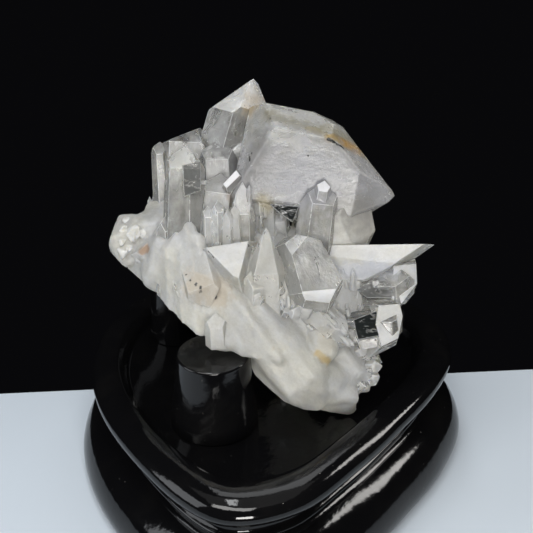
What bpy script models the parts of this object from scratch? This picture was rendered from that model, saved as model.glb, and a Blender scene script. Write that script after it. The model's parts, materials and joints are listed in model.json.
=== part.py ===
"""A lemurian quartz cluster resting on a carved, black lacquered wooden stand with two pegs."""

import math
import random

import bmesh
import bpy
from mathutils import Matrix, Vector

MM = 0.001
GAP = 0.3 * MM
# The whole is laid out round the dish, then moved so that its outer size is centred.
CENTRED = Vector((-2.15, 4.3, 0.0)) * MM

# The cluster is laid out in a leaning frame: across (to the right), up (along the lean) and out
# (towards the front). Its centre stands this high above the table.
LEAN = math.radians(29.0)
CENTRE_HEIGHT = 65.3

# Quartz keeps its angles: the pyramid faces lean 51.8 degrees from the long axis.
PYRAMID_ANGLE = 51.8
TAPER = math.radians(1.5)

# The underside, where the cluster broke from its rock: a place on it and the way it faces.
BREAK_PLACE = (0.0, -25.4, 0.0)
BREAK_FACING = (-0.524, -0.773, -0.357)
BREAK_TILT = 0.08
# The flat spot over the front peg.
PEG_SEAT = (-12.0, -21.4, 9.2)
PEG_SEAT_FACING = (-0.1, -0.87, -0.48)

# The stand, in millimetres: its widest outline seen from above, and its section.
STAND_OUTLINE = [
    (-7.5, -59.0), (9.5, -53.5), (24.0, -38.5), (35.0, -24.5), (47.0, -7.0), (54.3, 11.5),
    (51.5, 30.0), (38.0, 43.5), (14.0, 49.5), (-12.0, 50.0), (-35.0, 46.0), (-47.0, 29.0),
    (-50.3, 8.0), (-46.5, -12.0), (-36.5, -32.0), (-21.0, -52.0),
]
STAND_STEPS = 4
# Height and distance outside the widest outline, from the foot up to the top of the rim.
STAND_SECTION = [
    (0.0, 1.5), (1.4, 3.4), (4.2, 4.4), (8.0, 3.8), (11.8, 1.7), (14.8, -1.3), (16.3, -4.0),
    (16.6, -4.6), (17.4, -4.0), (18.6, -5.2), (19.7, -4.6), (20.7, -5.8), (22.4, -6.2),
    (24.4, -5.2), (26.0, -2.4), (28.4, -0.2), (30.6, -0.2), (32.4, -1.8), (33.4, -4.6),
    (33.5, -7.4),
]
# Height and share of the outline, from the rim down into the dish.
DISH_SECTION = [(33.0, 0.835), (31.6, 0.81), (29.6, 0.795), (28.5, 0.775)]
DISH_CENTRE = (-2.0, 8.0)
DISH_FLOOR = 28.5

# The pegs, in millimetres: centre, radius, height of the top and flare of the foot, and the
# tenon let into the stand.
FRONT_PEG = {"centre": (-13.9, -18.0), "radius": 9.5, "top": 49.97, "foot": 2.2}
BACK_PEG = {"centre": (-27.0, 25.4), "radius": 7.0, "top": 53.2, "foot": 1.2}
PEG_EDGE = 0.6
TENON_RADIUS = 4.0
TENON_DEPTH = 7.0
PEG_SIDES = 40


def lean_point(across, up, out):
    """A place in the leaning frame, in millimetres, as a point in metres."""
    return Vector((
        across,
        up * math.sin(LEAN) - out * math.cos(LEAN),
        CENTRE_HEIGHT + up * math.cos(LEAN) + out * math.sin(LEAN),
    )) * MM


def lean_direction(across, up, out):
    return (lean_point(across, up, out) - lean_point(0, 0, 0)).normalized()


def cut(bm, point, normal):
    """Take off what lies beyond a plane and close the cut with one flat face."""
    bmesh.ops.bisect_plane(
        bm, geom=bm.verts[:] + bm.edges[:] + bm.faces[:], dist=1e-6,
        plane_co=point, plane_no=normal, clear_outer=True,
    )
    rim = [edge for edge in bm.edges if edge.is_boundary]
    if rim:
        bmesh.ops.holes_fill(bm, edges=rim)


def mesh_object(name, bm, collection):
    bmesh.ops.translate(bm, vec=CENTRED, verts=bm.verts[:])
    bmesh.ops.recalc_face_normals(bm, faces=bm.faces[:])
    mesh = bpy.data.meshes.new(name)
    bm.to_mesh(mesh)
    bm.free()
    piece = bpy.data.objects.new(name, mesh)
    collection.objects.link(piece)
    return piece


def crystal(name, root, tip, wide, deep, roll=0.0, apex=(0.0, 0.0), lifts=(0, 3, 0, 3, 0, 3),
            taper=TAPER, steep=PYRAMID_ANGLE, cuts=()):
    """A six-sided quartz prism with a six-faced point.

    wide runs across the prism from edge to edge, deep between its front and back faces.
    apex moves the point sideways, and lifts hold each pyramid face back from it.
    """
    start, end = lean_point(*root), lean_point(*tip)
    axis = (end - start).normalized()
    front = lean_direction(0, 0, 1)
    front = (front - axis * front.dot(axis)).normalized()
    turn = Matrix.Rotation(math.radians(roll), 3, axis)
    front = turn @ front
    side = axis.cross(front)
    length = (end - start).length

    bm = bmesh.new()
    bmesh.ops.create_cube(bm, size=1.0)
    frame = Matrix((side, front, axis)).transposed().to_4x4()
    size = Matrix.Diagonal((wide * MM * 1.6, deep * MM * 1.6, length * 1.2, 1.0))
    middle = Matrix.Translation(start + axis * length * 0.6)
    bmesh.ops.transform(bm, matrix=middle @ frame @ size, verts=bm.verts[:])

    point = end + side * apex[0] * MM + front * apex[1] * MM
    for face in range(6):
        around = math.radians(90 + 60 * face)
        outward = side * math.cos(around) + front * math.sin(around)
        flat = face % 3 == 0
        reach = front * deep / 2 * (1 if face == 0 else -1) if flat else (
            side * wide / 2 * (1 if outward.dot(side) > 0 else -1))
        cut(bm, end + reach * MM, outward * math.cos(taper) + axis * math.sin(taper))
        cut(bm, point + axis * lifts[face] * MM,
            outward * math.sin(math.radians(steep)) + axis * math.cos(math.radians(steep)))
    for place, facing in cuts:
        cut(bm, lean_point(*place), lean_direction(*facing))
    return name, bm


def facet_block(name, corners, depth, flare=12.0, cuts=()):
    """A crystal that shows one flat face, with its corners in clockwise order.

    flare is how far the sides spread behind the face, in degrees, for all or for each side.
    """
    points = [lean_point(*corner) for corner in corners]
    middle = sum(points, Vector()) / len(points)
    around = list(zip(points, points[1:] + points[:1]))
    facing = Vector()
    for a, b in around:
        facing += (b - middle).cross(a - middle)
    facing.normalize()
    size = max((point - middle).length for point in points) * 5 + depth * 4 * MM
    bm = bmesh.new()
    bmesh.ops.create_cube(bm, size=size)
    bmesh.ops.translate(bm, vec=middle, verts=bm.verts[:])
    cut(bm, middle, facing)
    cut(bm, middle - facing * depth * MM, -facing)
    for index, (a, b) in enumerate(around):
        outward = facing.cross(b - a).normalized()
        slant = math.radians(flare[index] if isinstance(flare, tuple) else flare)
        cut(bm, a, outward * math.cos(slant) + facing * math.sin(slant))
    for place, way in cuts:
        cut(bm, lean_point(*place), lean_direction(*way))
    return name, bm


def chunk(name, centre, size, seed, sides=16, cuts=()):
    """A lump of broken quartz: a block cut by flat fractures set round an egg shape."""
    draw = random.Random(seed)
    bm = bmesh.new()
    bmesh.ops.create_cube(bm, size=2.0)
    reach = [s / 2 * MM for s in size]
    axes = [lean_direction(1, 0, 0), lean_direction(0, 1, 0), lean_direction(0, 0, 1)]
    frame = Matrix(axes).transposed().to_4x4() @ Matrix.Diagonal((*reach, 1.0))
    middle = lean_point(*centre)
    bmesh.ops.transform(bm, matrix=Matrix.Translation(middle) @ frame, verts=bm.verts[:])
    for side in range(sides):
        height = 1 - 2 * (side + 0.5) / sides
        around = side * 2.4 + draw.uniform(-0.25, 0.25)
        ring = math.sqrt(1 - height * height)
        away = (ring * math.cos(around), height, ring * math.sin(around))
        point, normal = Vector(middle), Vector((0, 0, 0))
        for axis, part, length in zip(axes, away, reach):
            point += axis * part * length * draw.uniform(0.84, 1.0)
            normal += axis * part / length
        cut(bm, point, normal.normalized())
    for place, facing in cuts:
        cut(bm, lean_point(*place), lean_direction(*facing))
    return name, bm


def broken(piece, sink):
    """Cut a piece off where the cluster broke from its rock, sink millimetres below the break."""
    name, bm = piece
    down = lean_direction(*BREAK_FACING)
    tilt = random.Random(name)
    facing = down + Vector([tilt.uniform(-BREAK_TILT, BREAK_TILT) for _ in range(3)])
    middle = sum((v.co for v in bm.verts), Vector()) / len(bm.verts)
    level = lean_point(*BREAK_PLACE) + down * sink * MM
    foot = middle + down * (level - middle).dot(down)
    cut(bm, foot, facing.normalized())
    return name, bm


def seeds(name, centre, spread, aim, count, length, wide, seed, fan=0.5):
    """A crust of small crystals that share a direction, each with a little freedom of its own."""
    draw = random.Random(seed)
    made = []
    for index in range(count):
        root = [c + draw.uniform(-s, s) for c, s in zip(centre, spread)]
        way = lean_direction(*[a + draw.uniform(-fan, fan) for a in aim])
        reach = draw.uniform(*length)
        back = (way.x, way.y * math.sin(LEAN) + way.z * math.cos(LEAN),
                -way.y * math.cos(LEAN) + way.z * math.sin(LEAN))
        tip = [r + b * reach for r, b in zip(root, back)]
        across = draw.uniform(*wide)
        made.append(crystal(f"{name}_{index}", root, tip, across, across * 0.85,
                            roll=draw.uniform(0, 60), lifts=(0, 0.6, 0, 0.6, 0, 0.6)))
    return made


def cluster_pieces():
    """Every crystal of the cluster: root and tip as (across, up, out) in millimetres."""
    yield broken(chunk("heart", (-8, -1, -5), (48, 32, 32), 3), 1)
    yield broken(chunk("left_heart", (-23, 5, -13), (32, 30, 30), 8), 0)
    yield chunk("right_heart", (10, -5, 0), (36, 24, 22), 17)
    yield broken(chunk("foot", (6, -18, -4), (34, 32, 22), 5, cuts=(
        ((-3.5, -20, 8), (-1, 0, 0)),)), 1.5)
    yield broken(chunk("heel", (-26, 9, -21), (20, 16, 18), 12), 0.5)

    # The three large crystals at the top.
    yield crystal("top_point", (-12.4, 28, -10), (-5.4, 52.4, -7), 16, 13, roll=30, apex=(2.2, 0),
                  lifts=(0, 1, 0, 1, 0, 1))
    yield crystal("big_shoulder", (-7, 30, -1), (35, 22.5, 2), 28, 16, roll=14, apex=(3.6, 0),
                  lifts=(0, 1, 0, 4, 0, 1), cuts=(
                      ((15.5, 40, 2), (0.44, 0.88, 0.25)),
                      ((5, 43.4, 2), (0.15, 0.98, 0.2)),
                      ((27, 30, 2), (0.8, 0.57, 0.25)),
                      ((31.5, 16.5, 2), (0.6, -0.8, -0.1)),
                      ((-4, 34, 4), (-0.75, 0.3, 0.6)),
                  ))
    yield crystal("under_shoulder", (12, 8, -2), (30.5, 16, 1), 18, 16, roll=12, cuts=(
        ((28.8, 10.5, 2), (0.98, 0.19, 0.1)),
        ((22, 17, 8), (0.3, 0.6, 0.74)),
    ))

    # The right side: a clear blade and the stubs under it.
    yield facet_block("right_blade", (
        (14, 5.8, 7.5), (41, 6.1, 9.5), (41.8, 5.2, 9.5), (32.6, 0.7, 9.5), (27, -3.2, 9.2),
        (17.5, -3.2, 8.2)), 9, (4, 20, 25, 10, 10, 0), cuts=(
            ((28, 1.6, 8.85), (-0.07, 0.2, 0.98)), ((38, 4, 9.3), (0.25, -0.1, 0.96))))
    yield crystal("right_stub", (20, -5, 1), (41, -4.5, 6), 11, 10, roll=30, cuts=(
        ((39.2, -3, 5), (0.97, -0.08, 0.22)), ((37, -8.8, 5), (0.75, -0.65, 0.1))))
    yield crystal("lower_stub", (18, -15.3, 1), (40, -15.3, 6), 11.6, 10.6, roll=15, cuts=(
        ((34.8, -13, 5), (0.96, 0.1, 0.25)), ((33.4, -18.8, 4), (0.6, -0.78, 0.1))))
    yield facet_block("lower_face", (
        (28.8, -9.9, 7.2), (34.6, -9.5, 6.6), (35.4, -12.8, 6.8), (34.1, -18.4, 7.2),
        (29.8, -20.4, 8.0), (28.4, -14, 8.6)), 9, 16)
    yield crystal("tiny_end", (25.5, -23, 1), (31, -25.5, 0), 4, 4, lifts=(0, 0, 0, 0, 0, 0))

    # The clear crystals that face the front.
    yield facet_block("clear_column", (
        (5.4, 6.4, 13), (8.2, 8.6, 12.3), (13.8, 7.0, 12.6), (19.3, -2.8, 15),
        (16.2, -7.6, 16.5), (10.1, -7.3, 17), (8.9, -6.0, 17)), 11, (20, 5, 5, 8, 16, 14, 24),
        cuts=(((15, -5.2, 16.3), (0.12, -0.42, 0.9)), ((9, 7, 12.6), (-0.25, 0.5, 0.83))))
    yield crystal("neck", (12, 2, 5), (14.5, 22, 8), 10, 8, roll=10)
    yield crystal("little_clear", (13.5, 14, 8), (15, 22.5, 10), 4.5, 4)
    yield crystal("pyramid", (0, -14, 4), (-0.1, 10.3, 13), 10.5, 8, steep=69,
                  lifts=(0, 1, 0, 1, 0, 1))
    yield crystal("arc_block", (-3, -14, 5), (-2.5, 1, 10.5), 9, 8, roll=20)
    yield facet_block("bright_face", (
        (-15.7, 5.0, 11.5), (-4.6, 6.8, 12.2), (-7.0, -2.7, 14), (-9.0, -1.7, 14)),
        10, (10, 18, 30, 34))

    # The upright crystals of the left side.
    yield crystal("left_tall", (-22, 1, 2), (-21.3, 32, 5), 10.5, 9, roll=-12,
                  lifts=(0, 2, 0, 2, 0, 2))
    yield crystal("left_back", (-27.5, 11.5, -6), (-29.3, 34.5, -7), 5, 6,
                  lifts=(0, 1, 0, 1, 0, 1))
    yield crystal("left_peak", (-21, 14, -8), (-20, 41, -8), 18, 11, roll=0, cuts=(
        ((-24, 36, -8), (-0.38, 0.92, 0.1)), ((-18, 38, -8), (0.8, 0.5, 0.3))))
    yield crystal("dark_prism", (-12, 8.5, -3), (-13.5, 34.5, -3), 11, 9)
    yield crystal("dark_back", (-7, 18, -7), (-10.5, 37, -6), 11, 8)
    yield crystal("beige_wedge", (-14.5, 7, 1), (-12, 25, 2), 11, 8)
    for number, (across, top, out, wide) in enumerate((
            (-15.2, 16.0, 8.0, 3.4), (-12.6, 17.4, 9.0, 3.6), (-10.2, 15.2, 9.4, 3.2),
            (-8.2, 16.2, 8.6, 3.0), (-26.8, 13.5, 4.6, 4.6), (-23.6, 10.8, 6.6, 5.0),
            (-20.3, 13.0, 8.0, 4.6), (-17.4, 9.6, 9.2, 3.8), (-21.6, 4.8, 8.8, 4.0),
            (-18.6, 2.0, 10.4, 3.4), (-24.8, 2.6, 5.6, 4.4))):
        yield broken(crystal(f"needle_{number}", (across + 0.6, top - 24, out - 1.5),
                             (across, top, out), wide, wide * 0.95, roll=(number * 23) % 60,
                             steep=60), -0.5)
    yield crystal("needle_c", (-6, 1, 5), (-6.3, 22.4, 7.5), 6, 5, steep=72)
    yield facet_block("bright_slab", (
        (-11.3, 21.7, 7.6), (-7.9, 25.4, 7.2), (-6.9, 24.0, 7.6), (-10.4, 20.6, 8.0)), 6)
    yield crystal("stain_block", (-0.5, 7, 1), (-1, 21, 3), 7, 6, roll=15)
    yield crystal("squat", (4, 3, -1), (2.8, 15, 2), 6, 4)

    # The left edge.
    yield broken(crystal("left_face", (-25, 8, -2), (-37, -3, -4), 13, 12, cuts=(
            ((-33, -4, -2), (-0.6, -0.75, -0.3)),
        )), 1.5)
    yield broken(crystal("left_lobe", (-27, 8.5, -4), (-40.5, 8.5, -7), 15, 13, cuts=(
            ((-40, 12, -6), (-0.85, 0.5, 0.1)),)), 1)
    yield broken(crystal("left_slope", (-24, 8, -4), (-33, 18.5, -6), 12, 11, roll=10, cuts=(
            ((-33, 18, -5), (-0.6, 0.8, 0)),
        )), 1)
    yield broken(chunk("left_knob", (-36, 6.5, -5), (13, 16, 13), 6, sides=12), 1)
    yield from seeds("left_crust", (-35.3, 8, -2), (3.5, 4.5, 3), (-0.8, 0.3, 0.7), 18,
                     (1.5, 3.2), (2.6, 5), 21)

    # The milky foot: long crystals laid side by side, running down to the right.
    yield broken(crystal("shelf_a", (-20, 6, 2), (-21, -14.5, 4), 12, 10, cuts=(
            ((-23, -12.5, 4), (-0.55, -0.75, -0.35)),)), 0.2)
    yield broken(crystal("shelf_b", (-26, 8, 1), (-29, -9, 1), 12, 11, cuts=(
            ((-29, -8, 1), (-0.55, -0.75, -0.35)),)), 0.8)
    yield broken(crystal("shelf_c", (-16, 3, 5), (-16, -18, 7), 12, 9, roll=20, cuts=(
            ((-16, -18, 7), (-0.55, -0.75, -0.35)),)), 0)
    yield broken(crystal("base_left", (-13.5, -4, 7), (-8, -24.5, 8), 12, 9, cuts=(
            ((-9, -24, 8), (-0.5, -0.8, -0.3)), (PEG_SEAT, PEG_SEAT_FACING))), 0.3)
    yield crystal("seat_front", (-12, -7, 6), (6, -33, 7.5), 14, 11, roll=5, cuts=(
        (PEG_SEAT, PEG_SEAT_FACING),))
    yield broken(crystal("base_low", (-10, -5, 3.5), (16, -38, 4.5), 18, 15, roll=5,
                         lifts=(0, 1, 0, 1, 0, 1), cuts=(((-3.9, -26, 8), (-1, 0, 0)),)), 3)
    for number, (root, tip, wide) in enumerate((
            ((-6.5, -10, 4), (9, -33, 8.2), 6.5), ((-2, -10, 5), (16, -34.5, 6.4), 6.5),
            ((4, -10, 4), (21.5, -33, 3), 7))):
        yield crystal(f"rib_{number}", root, tip, wide, wide * 1.05, roll=25 + number * 17)
    yield broken(crystal("base_mid", (-4, -5.5, 3), (24.5, -39.5, -3), 15, 14, roll=35), 1.8)
    yield broken(crystal("base_high", (6, -6, 3), (28, -34, -3), 12, 12, roll=10), 2)
    yield crystal("beige_column", (15, -12, 6), (15.5, -25.5, 9), 6.5, 6)
    yield crystal("speck_face", (-18.5, 3, 6), (-14.5, -10.5, 12), 11, 7, roll=10)
    yield crystal("mid_right", (10, -9, 5), (21.5, -20.5, 8), 9, 8, roll=20)
    yield crystal("small_up", (-12.5, -20, 9), (-13, -11.5, 13), 6, 5)
    yield from seeds("middle_crust", (3, -10, 9), (5, 3, 1), (0.2, 0.5, 0.9), 7,
                     (2, 4), (2.5, 4), 11)
    yield from seeds("right_crust", (24.5, -27, -0.5), (3, 4.5, 2.5), (0.9, 0.1, 0.7), 15,
                     (2.5, 5.5), (3, 5.4), 4, fan=0.35)

    # The back, which the photograph doesn't show, grown in the same way.
    yield crystal("back_tall", (-14, 6, -14), (-12, 33, -24), 13, 12, roll=180)
    yield crystal("back_lean", (8, -2, -10), (24, 16, -25), 12, 12, roll=160)
    yield broken(crystal("back_low", (6, -8, -10), (24, -6, -27), 11, 10), 0.5)
    yield broken(crystal("back_left", (-18, 8, -16), (-30, 24, -27), 12, 10), 0.6)
    yield broken(crystal("back_down", (0, -12, -10), (6, -20, -23), 10, 9), 1)
    yield broken(crystal("back_mid", (-10, 0, -14), (-9, 6, -33), 12, 11), 0.4)


def grow_cluster(parts, grown):
    """Join all the crystals in one solid."""
    names = []
    first = None
    for name, bm in cluster_pieces():
        if first is None:
            first = mesh_object("quartz_cluster", bm, parts)
            continue
        piece = mesh_object(name, bm, grown)
        piece.hide_render = True
        piece.display_type = "WIRE"
        names.append(name)
    join = first.modifiers.new("grown together", "BOOLEAN")
    join.operation = "UNION"
    join.solver = "EXACT"
    join.operand_type = "COLLECTION"
    join.collection = grown
    weld = first.modifiers.new("weld", "WELD")
    weld.merge_threshold = 0.00002
    return first


def smooth_loop(points, steps):
    """A closed curve through the points, with a few steps between each two."""
    count = len(points)
    loop = []
    for index in range(count):
        a, b, c, d = (Vector(points[(index + k) % count]) for k in (-1, 0, 1, 2))
        for step in range(steps):
            t = step / steps
            loop.append(0.5 * (2 * b + (c - a) * t + (2 * a - 5 * b + 4 * c - d) * t * t
                               + (3 * b - a - 3 * c + d) * t ** 3))
    return loop


def carve_stand(parts, cutters):
    loop = smooth_loop(STAND_OUTLINE, STAND_STEPS)
    count = len(loop)
    outward = []
    for index, point in enumerate(loop):
        along = (loop[(index + 1) % count] - loop[index - 1]).normalized()
        outward.append(Vector((along.y, -along.x)))
    rings = [
        [(p.x + n.x * away, p.y + n.y * away, z) for p, n in zip(loop, outward)]
        for z, away in STAND_SECTION
    ]
    middle = Vector(DISH_CENTRE)
    for z, share in DISH_SECTION:
        rings.append([(*(middle + (p - middle) * share), z) for p in loop])

    bm = bmesh.new()
    levels = [[bm.verts.new([c * MM for c in corner]) for corner in ring] for ring in rings]
    for low, high in zip(levels, levels[1:]):
        for index in range(count):
            after = (index + 1) % count
            bm.faces.new((low[index], low[after], high[after], high[index]))
    bm.faces.new(levels[-1])
    bm.faces.new(list(reversed(levels[0])))
    stand = mesh_object("carved_stand", bm, parts)
    smooth(stand, 40)

    for peg in (FRONT_PEG, BACK_PEG):
        deep = (TENON_DEPTH * MM + GAP) * 2
        socket = cylinder("socket", TENON_RADIUS * MM + GAP, deep, peg["centre"], cutters)
        hole = stand.modifiers.new("socket", "BOOLEAN")
        hole.operation = "DIFFERENCE"
        hole.solver = "EXACT"
        hole.object = socket
    return stand


def cylinder(name, radius, deep, centre, cutters):
    """An upright round cutter whose middle is at the dish floor."""
    bm = bmesh.new()
    bmesh.ops.create_cone(bm, cap_ends=True, segments=PEG_SIDES, radius1=radius,
                          radius2=radius, depth=deep)
    place = Matrix.Translation((centre[0] * MM, centre[1] * MM, DISH_FLOOR * MM))
    bmesh.ops.transform(bm, matrix=place, verts=bm.verts[:])
    piece = mesh_object(name, bm, cutters)
    piece.hide_render = True
    piece.display_type = "WIRE"
    return piece


def turn_peg(name, peg, parts):
    """A turned peg: tenon, flared foot, straight side and a softened top edge."""
    radius, top, flare = peg["radius"], peg["top"], peg["foot"]
    floor = DISH_FLOOR + GAP / MM
    foot = [
        (radius + flare * (1 - math.sin(math.radians(turn))),
         floor + flare * (1 - math.cos(math.radians(turn))))
        for turn in (90, 60, 30, 0)
    ]
    edge = [
        (radius - PEG_EDGE * (1 - math.cos(math.radians(turn))),
         top - PEG_EDGE * (1 - math.sin(math.radians(turn))))
        for turn in (0, 45, 90)
    ]
    outline = [(0.0, top)] + edge[::-1] + foot
    outline += [(TENON_RADIUS, floor), (TENON_RADIUS, DISH_FLOOR - TENON_DEPTH),
                (0.0, DISH_FLOOR - TENON_DEPTH)]
    bm = bmesh.new()
    corners = [bm.verts.new((r * MM, 0, z * MM)) for r, z in outline]
    for upper, lower in zip(corners, corners[1:]):
        bm.edges.new((upper, lower))
    mesh = bpy.data.meshes.new(name)
    bm.to_mesh(mesh)
    bm.free()
    piece = bpy.data.objects.new(name, mesh)
    parts.objects.link(piece)
    piece.location = Vector((*peg["centre"], 0)) * MM + CENTRED
    screw = piece.modifiers.new("turned", "SCREW")
    screw.steps = PEG_SIDES
    screw.render_steps = PEG_SIDES
    screw.use_merge_vertices = True
    screw.merge_threshold = 0.00001
    screw.use_smooth_shade = False
    return piece


def smooth(piece, angle):
    piece.data.shade_smooth()
    piece.data.set_sharp_from_angle(angle=math.radians(angle))


def finish(name, colour, roughness, **more):
    material = bpy.data.materials.new(name)
    material.use_nodes = True
    shader = material.node_tree.nodes["Principled BSDF"]
    shader.inputs["Base Color"].default_value = (*colour, 1)
    shader.inputs["Roughness"].default_value = roughness
    for socket, value in more.items():
        shader.inputs[socket.replace("_", " ")].default_value = value
    return material


def main():
    for old in list(bpy.data.objects):
        bpy.data.objects.remove(old, do_unlink=True)
    parts = bpy.data.collections.new("lemurian_quartz_cluster")
    cutters = bpy.data.collections.new("cutters")
    grown = bpy.data.collections.new("grown_crystals")
    for collection in (parts, cutters, grown):
        bpy.context.scene.collection.children.link(collection)

    lacquer = finish("black lacquer", (0.012, 0.012, 0.013), 0.12)
    quartz = finish("milky quartz", (0.86, 0.86, 0.83), 0.12, IOR=1.544, Transmission_Weight=0.5)
    grow_cluster(parts, grown).data.materials.append(quartz)
    carve_stand(parts, cutters).data.materials.append(lacquer)
    turn_peg("front_peg", FRONT_PEG, parts).data.materials.append(lacquer)
    turn_peg("back_peg", BACK_PEG, parts).data.materials.append(lacquer)


main()
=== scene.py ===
import json
import math
import random

import bmesh
import bpy
from mathutils import Matrix, Vector
from mathutils import noise as noiseField

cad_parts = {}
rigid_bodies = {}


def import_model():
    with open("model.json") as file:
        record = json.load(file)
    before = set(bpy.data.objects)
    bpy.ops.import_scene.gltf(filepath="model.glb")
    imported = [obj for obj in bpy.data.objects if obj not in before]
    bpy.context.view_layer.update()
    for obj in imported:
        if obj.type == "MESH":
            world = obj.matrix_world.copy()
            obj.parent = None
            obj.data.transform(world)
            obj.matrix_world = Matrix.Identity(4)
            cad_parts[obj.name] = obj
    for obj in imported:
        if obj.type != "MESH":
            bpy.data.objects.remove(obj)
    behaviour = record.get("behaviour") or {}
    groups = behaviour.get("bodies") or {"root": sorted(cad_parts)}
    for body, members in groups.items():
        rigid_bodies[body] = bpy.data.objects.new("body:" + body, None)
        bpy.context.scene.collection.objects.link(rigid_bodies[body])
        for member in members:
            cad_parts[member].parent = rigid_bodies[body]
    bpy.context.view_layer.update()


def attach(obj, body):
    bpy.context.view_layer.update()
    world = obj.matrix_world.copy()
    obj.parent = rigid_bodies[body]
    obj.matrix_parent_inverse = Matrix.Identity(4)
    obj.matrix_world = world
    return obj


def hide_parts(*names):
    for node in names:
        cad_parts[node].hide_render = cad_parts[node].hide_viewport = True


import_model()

# A quartz cluster on its carved black stand: millimetres in the settings, metres in Blender.
mm = 0.001
print("frame loaded")


def meshPiece(name, bm, materials=()):
    mesh = bpy.data.meshes.new(name)
    bm.to_mesh(mesh)
    bm.free()
    piece = bpy.data.objects.new(name, mesh)
    bpy.context.scene.collection.objects.link(piece)
    for material in materials:
        mesh.materials.append(material)
    return piece


# ---- node helpers

def newMaterial(name):
    material = bpy.data.materials.new(name)
    material.use_nodes = True
    material.node_tree.nodes.clear()
    return material, material.node_tree


def put(tree, kind, inputs=None, **settings):
    # adds a node; an input is a plain value or another node's socket
    node = tree.nodes.new(kind)
    for name, value in settings.items():
        setattr(node, name, value)
    for name, value in (inputs or {}).items():
        socket = node.inputs[name]
        if isinstance(value, bpy.types.NodeSocket):
            tree.links.new(value, socket)
        else:
            socket.default_value = value
    return node


def sums(tree, operation, a, b=0.0, c=None, clamp=False):
    inputs = {0: a, 1: b}
    if c is not None:
        inputs[2] = c
    return put(tree, "ShaderNodeMath", inputs, operation=operation, use_clamp=clamp).outputs[0]


def noise(tree, place, scale, detail=3.0, rough=0.5, warp=0.0):
    return put(tree, "ShaderNodeTexNoise", {
        "Vector": place, "Scale": scale, "Detail": detail, "Roughness": rough, "Distortion": warp,
    }).outputs["Fac"]


def spread(tree, value, low, high, start=0.0, end=1.0, curve="LINEAR"):
    return put(tree, "ShaderNodeMapRange", {
        "Value": value, "From Min": low, "From Max": high, "To Min": start, "To Max": end,
    }, interpolation_type=curve).outputs["Result"]


def blendColours(tree, factor, first, second, way="MIX"):
    node = put(tree, "ShaderNodeMix", data_type="RGBA", blend_type=way)
    for index, value in ((0, factor), (6, first), (7, second)):
        if isinstance(value, bpy.types.NodeSocket):
            tree.links.new(value, node.inputs[index])
        else:
            node.inputs[index].default_value = value if index == 0 else (*value, 1)
    return node.outputs[2]


def millimetres(tree):
    place = put(tree, "ShaderNodeTexCoord").outputs["Object"]
    return put(tree, "ShaderNodeVectorMath", {0: place, "Scale": 1000.0}, operation="SCALE").outputs[0]


def band(tree, place, edge, start, end, reach, ragged=1.4):
    # 1 along the line from start to end, falling to 0 at reach, with a ragged edge
    a, way = Vector(start), Vector(end) - Vector(start)
    off = put(tree, "ShaderNodeVectorMath", {0: place, 1: a}, operation="SUBTRACT").outputs[0]
    along = put(tree, "ShaderNodeVectorMath", {0: off, 1: way}, operation="DOT_PRODUCT")
    share = sums(tree, "DIVIDE", along.outputs["Value"], way.length_squared, clamp=True)
    foot = put(tree, "ShaderNodeVectorMath", {0: way, "Scale": share}, operation="SCALE").outputs[0]
    far = put(tree, "ShaderNodeVectorMath", {0: off, 1: foot}, operation="DISTANCE")
    far = sums(tree, "MULTIPLY_ADD", sums(tree, "SUBTRACT", edge, 0.5), reach * ragged,
               far.outputs["Value"])
    return spread(tree, far, reach, reach * 0.3, curve="SMOOTHSTEP")


# ---- camera, table and light

stageSettings = {
    "target": (-2.15, 4.3, 65.6), "distance": 277, "tilt": 29, "lens": 70,
    "tableFront": -115, "tableBack": 44, "tableSide": 420, "tableTurn": 4.5,
    "tableColour": (0.585, 0.65, 0.72),
    "surround": (0.0025, 0.0025, 0.003),
    # place, width, depth, watts and colour
    "lamps": {
        "above": ((-62, -178, 335), 280, 100, 0.75, (1.0, 0.99, 0.97)),
        "window": ((-50, 0, 420), 170, 45, 0.25, (0.97, 0.99, 1.0)),
        "ceiling": ((0, -40, 430), 500, 350, 0.2, (1.0, 0.99, 0.98)),
        "front": ((30, -380, 80), 130, 80, 0.98, (1.0, 0.98, 0.95)),
        "left": ((-300, -90, 170), 180, 200, 0.36, (0.93, 0.96, 1.0)),
        "right": ((300, 60, 240), 60, 140, 0.3, (1.0, 0.98, 0.95)),
        "behind": ((40, 190, 380), 240, 120, 0.2, (0.96, 0.98, 1.0)),
    },
}


def paleTable(colour):
    material, tree = newMaterial("pale table")
    place = millimetres(tree)
    tone = noise(tree, place, 0.02, 4)
    speck = noise(tree, place, 1.6, 2)
    shade = blendColours(tree, sums(tree, "MULTIPLY", tone, 0.25), colour, [c * 0.86 for c in colour])
    shader = put(tree, "ShaderNodeBsdfPrincipled", {
        "Base Color": shade, "Roughness": spread(tree, speck, 0.3, 0.7, 0.5, 0.62),
    })
    put(tree, "ShaderNodeOutputMaterial", {"Surface": shader.outputs[0]})
    return material


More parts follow.
